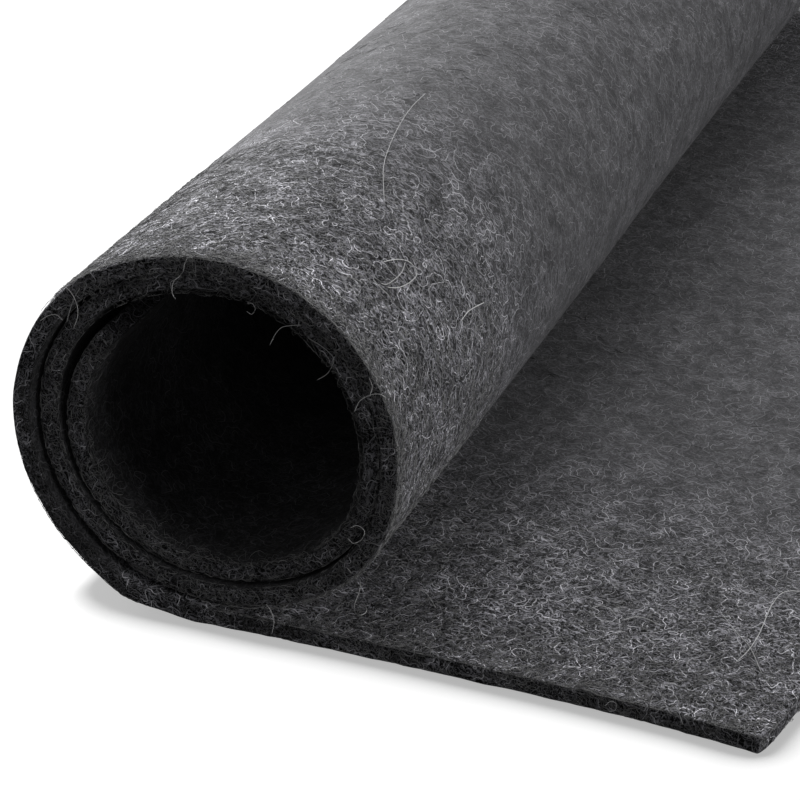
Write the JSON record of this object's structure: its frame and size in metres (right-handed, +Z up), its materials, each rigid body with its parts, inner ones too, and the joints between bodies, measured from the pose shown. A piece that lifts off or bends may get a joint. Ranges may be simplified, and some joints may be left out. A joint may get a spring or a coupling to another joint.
{
  "type": "felt roll",
  "caption": "Sheet of thick charcoal wool felt, loosely rolled up from one end, with its other end lying flat beside the roll.",
  "frame": {"origin": "middle of the base of the space the object takes up, on the underside of the flat tail", "axes": "+Y along the roll from its near end to its far end, +X across the roll towards the flat tail's free end, +Z up"},
  "size_m": [0.118, 0.3166, 0.0579],
  "materials": {
    "felt": "matt, fibrous charcoal melange"
  },
  "bodies": {
    "root": {"felt_sheet": "felt"}
  },
  "joints": []
}
